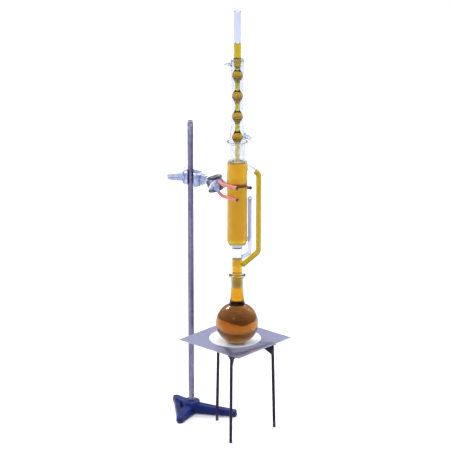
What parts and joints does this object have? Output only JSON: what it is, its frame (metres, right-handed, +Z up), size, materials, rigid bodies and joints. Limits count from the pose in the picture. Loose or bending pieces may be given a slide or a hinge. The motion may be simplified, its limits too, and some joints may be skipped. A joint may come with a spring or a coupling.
{
  "type": "soxhlet extractor",
  "caption": "Laboratory extractor: round flask, extraction chamber with siphon and vapour tube, bulbed water condenser, clamped to a rod stand over a gauze on a tripod.",
  "frame": {"origin": "middle of the whole outline, on the bench", "axes": "+Z up along the glass, +X from the stand's rod towards the glass, bench at Z = 0"},
  "size_m": [0.2505, 0.1694, 0.858],
  "materials": {
    "blue_enamel": "glossy enamel paint on cast iron",
    "rod_steel": "dull plated steel",
    "clamp_alloy": "cast, lightly polished",
    "bright_steel": "bright plated",
    "dark_jaw": "dark paint",
    "red_sleeve": "matt pink-red rubber",
    "black_rubber": "matt",
    "black_iron": "dark paint",
    "gauze_wire": "woven wire",
    "ceramic": "matt ceramic fibre",
    "clear_glass": "clear, polished",
    "paper": "soaked paper",
    "gold_liquid": "clear golden liquid",
    "brown_liquid": "clear amber-brown liquid"
  },
  "bodies": {
    "stand": {"stand_base": "blue_enamel", "base_feet": "black_rubber"},
    "rod": {"stand_rod": "rod_steel"},
    "boss": {"boss_body": "clamp_alloy"},
    "rod_screw": {"boss_rod_screw": "clamp_alloy"},
    "arm_screw": {"boss_arm_screw": "bright_steel"},
    "arm": {"clamp_arm": "clamp_alloy", "swivel_nut": "bright_steel"},
    "head": {"clamp_head": "dark_jaw", "jaw_pins": "bright_steel", "extractor_body": "clear_glass", "vapour_tube": "clear_glass", "siphon_tube": "clear_glass", "thimble": "paper", "chamber_liquid": "gold_liquid", "stem_liquid": "gold_liquid", "vapour_liquid": "gold_liquid"},
    "jaw_front_body": {"jaw_front": "clamp_alloy", "finger_sleeves_front": "red_sleeve", "finger_caps_front": "black_rubber"},
    "jaw_back_body": {"jaw_back": "clamp_alloy", "finger_sleeves_back": "red_sleeve", "finger_caps_back": "black_rubber"},
    "washer_front": {"jaw_washer_front": "bright_steel"},
    "washer_back": {"jaw_washer_back": "bright_steel"},
    "wing_front": {"wing_screw_front": "bright_steel"},
    "wing_back": {"wing_screw_back": "bright_steel"},
    "condenser": {"condenser_jacket": "clear_glass", "condenser_tube": "clear_glass", "condenser_liquid": "gold_liquid", "ground_cone": "clear_glass", "water_nozzle_upper": "clear_glass", "water_nozzle_lower": "clear_glass"},
    "flask_body": {"flask": "clear_glass", "flask_liquid": "brown_liquid"},
    "tripod": {"tripod_top": "black_iron", "tripod_leg_1": "black_iron", "tripod_leg_2": "black_iron", "tripod_leg_3": "black_iron"},
    "gauze": {"gauze_sheet": "gauze_wire", "ceramic_centre": "ceramic"}
  },
  "joints": [
    {"name": "rod_turn", "type": "hinge", "parent": "stand", "child": "rod", "pos_m": [-0.0562, -0.0147, 0], "axis": [0, 0, 1], "range_deg": [-25, 25]},
    {"name": "boss_height", "type": "slide", "parent": "rod", "child": "boss", "axis": [0, 0, 1], "range_m": [0, 0.08]},
    {"name": "rod_screw_turn", "type": "hinge", "parent": "boss", "child": "rod_screw", "pos_m": [-0.0562, -0.0147, 0.502], "axis": [-0.7431, -0.6691, 0], "continuous": true},
    {"name": "arm_screw_turn", "type": "hinge", "parent": "boss", "child": "arm_screw", "pos_m": [-0.0362, -0.0147, 0.502], "axis": [0, 1, 0], "range_deg": [-50, 70]},
    {"name": "arm_reach", "type": "slide", "parent": "boss", "child": "arm", "axis": [1, 0, 0], "range_m": [0, 0.012]},
    {"name": "head_tilt", "type": "hinge", "parent": "arm", "child": "head", "pos_m": [-0.0102, -0.0147, 0.502], "axis": [1, 0, 0], "range_deg": [-15, 15]},
    {"name": "jaw_front_open", "type": "hinge", "parent": "head", "child": "jaw_front_body", "pos_m": [0.0098, -0.0245, 0.502], "axis": [0, 0, 1], "range_deg": [-20, 0]},
    {"name": "jaw_back_open", "type": "hinge", "parent": "head", "child": "jaw_back_body", "pos_m": [0.0098, -0.0049, 0.502], "axis": [0, 0, 1], "range_deg": [0, 20]},
    {"name": "washer_front_travel", "type": "slide", "parent": "head", "child": "washer_front", "axis": [0, -1, 0], "range_m": [0, 0.006]},
    {"name": "washer_back_travel", "type": "slide", "parent": "head", "child": "washer_back", "axis": [0, 1, 0], "range_m": [0, 0.006]},
    {"name": "wing_front_turn", "type": "hinge", "parent": "washer_front", "child": "wing_front", "pos_m": [0.0218, -0.0147, 0.507], "axis": [0, -1, 0], "range_deg": [0, 720]},
    {"name": "wing_back_turn", "type": "hinge", "parent": "washer_back", "child": "wing_back", "pos_m": [0.0218, -0.0147, 0.497], "axis": [0, 1, 0], "range_deg": [0, 720]},
    {"name": "condenser_lift", "type": "slide", "parent": "head", "child": "condenser", "axis": [0, 0, 1], "range_m": [0, 0.07]},
    {"name": "flask_twist", "type": "hinge", "parent": "head", "child": "flask_body", "pos_m": [0.0678, -0.0147, 0.3], "axis": [0, 0, 1], "continuous": true},
    {"name": "tripod_slide", "type": "slide", "parent": "stand", "child": "tripod", "axis": [1, 0, 0], "range_m": [0, 0.04]},
    {"name": "gauze_slide", "type": "slide", "parent": "tripod", "child": "gauze", "axis": [0, 1, 0], "range_m": [-0.02, 0.02]}
  ],
  "couplings": [
    {"joint": "washer_front_travel", "follows": "jaw_front_open", "m_per_rad": -0.017},
    {"joint": "washer_back_travel", "follows": "jaw_back_open", "m_per_rad": 0.017},
    {"joint": "wing_front_turn", "follows": "jaw_front_open", "ratio": -36},
    {"joint": "wing_back_turn", "follows": "jaw_back_open", "ratio": 36}
  ]
}
